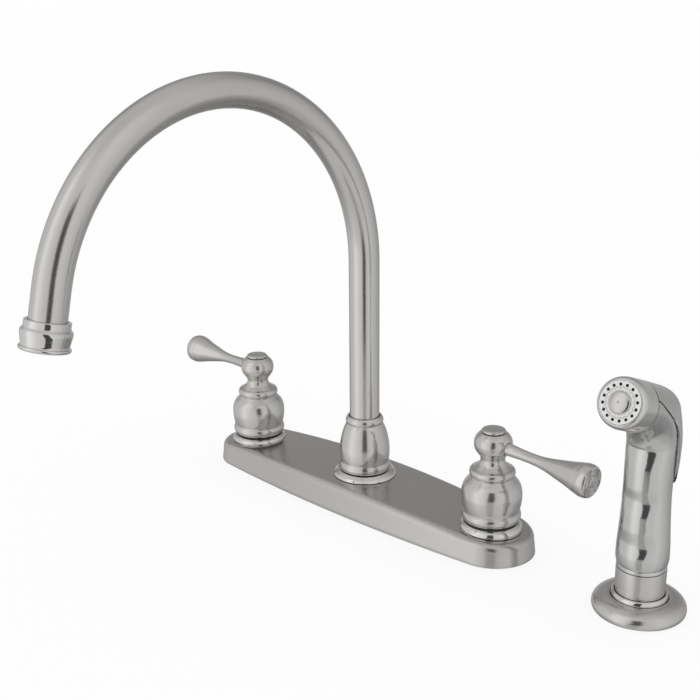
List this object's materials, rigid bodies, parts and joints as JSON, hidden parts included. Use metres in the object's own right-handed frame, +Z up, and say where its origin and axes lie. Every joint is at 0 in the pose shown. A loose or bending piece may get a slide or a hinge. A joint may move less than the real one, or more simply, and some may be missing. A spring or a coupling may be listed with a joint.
{
  "type": "kitchen faucet with side spray",
  "caption": "Two-handle deck-mounted kitchen faucet with a high gooseneck spout that swivels, trumpet-ended lever handles on a long bowed deck plate, and a lift-out side spray with a thumb trigger",
  "frame": {"origin": "point on the deck under the spout axis, on the underside of the deck gasket", "axes": "+X to the user's right, towards the side spray; -Y to the user, the way the spout reaches; +Z up; metres"},
  "size_m": [0.3946, 0.2652, 0.3268],
  "materials": {
    "brushed": "satin",
    "polished": "polished",
    "brass": "machined",
    "copper": "drawn copper tube",
    "steel": "plain",
    "white": "satin",
    "nylon": "matte",
    "rubber": "matte"
  },
  "bodies": {
    "fixed": {"deck_plate": "brushed", "deck_gasket": "rubber", "spout_hub": "brass", "spray_diverter": "nylon", "cold_crossover": "copper", "hot_crossover": "copper", "spout_base_ring": "polished", "spout_nut": "brushed", "spout_slip_washer": "nylon", "spray_holder": "brushed", "holder_bushing": "polished", "holder_washer": "steel", "holder_nut": "nylon", "hot_valve_body": "brass", "hot_cartridge": "brass", "hot_bonnet_nut": "brass", "hot_base_ring": "polished", "hot_shank_washer": "steel", "hot_mounting_nut": "brass", "cold_valve_body": "brass", "cold_cartridge": "brass", "cold_bonnet_nut": "brass", "cold_base_ring": "polished", "cold_shank_washer": "steel", "cold_mounting_nut": "brass"},
    "hot_handle": {"hot_stem": "brass", "hot_handle_hub": "brushed", "hot_lever": "brushed", "hot_handle_screw": "steel", "hot_index_cap": "brushed"},
    "cold_handle": {"cold_stem": "brass", "cold_handle_hub": "brushed", "cold_lever": "brushed", "cold_handle_screw": "steel", "cold_index_cap": "brushed"},
    "spout": {"spout_foot": "brass", "lower_o_ring": "rubber", "upper_o_ring": "rubber", "spout_tube": "brushed", "outlet_collar": "polished", "aerator_body": "nylon", "aerator_screen": "steel"},
    "spray_base": {"spray_ferrule": "brushed", "hose_connector": "brass", "swivel_ring": "polished"},
    "spray_wand": {"spray_body": "polished", "trigger_pin": "steel", "nozzle_collar": "polished", "spray_face": "white", "face_dome": "polished"},
    "trigger": {"spray_trigger": "polished"},
    "valve": {"valve_plunger": "brass", "valve_spring": "steel"}
  },
  "joints": [
    {"name": "hot_handle_turn", "type": "hinge", "parent": "fixed", "child": "hot_handle", "pos_m": [-0.1016, 0, 0.05], "axis": [0, 0, 1], "range_deg": [0, 90]},
    {"name": "cold_handle_turn", "type": "hinge", "parent": "fixed", "child": "cold_handle", "pos_m": [0.1016, 0, 0.05], "axis": [0, 0, 1], "range_deg": [-90, 0]},
    {"name": "spout_swivel", "type": "hinge", "parent": "fixed", "child": "spout", "pos_m": [0, 0, 0.05], "axis": [0, 0, 1], "range_deg": [-70, 70]},
    {"name": "spray_lift", "type": "slide", "parent": "fixed", "child": "spray_base", "axis": [0, 0, 1], "range_m": [0, 0.07]},
    {"name": "spray_swivel", "type": "hinge", "parent": "spray_base", "child": "spray_wand", "pos_m": [0.201, 0, 0.03], "axis": [0, 0, 1], "continuous": true},
    {"name": "trigger_press", "type": "hinge", "parent": "spray_wand", "child": "trigger", "pos_m": [0.20196, -0.01198, 0.12398], "axis": [0.9968, 0.0802, 0], "range_deg": [-2.5, 0], "stiffness_Nm_per_rad": 0.6, "springref_deg": 5.73},
    {"name": "valve_slide", "type": "slide", "parent": "spray_wand", "child": "valve", "axis": [-0.0802, 0.9968, 0], "range_m": [-0.0011, 0]}
  ],
  "couplings": [
    {"joint": "valve_slide", "follows": "trigger_press", "m_per_rad": 0.0237}
  ]
}
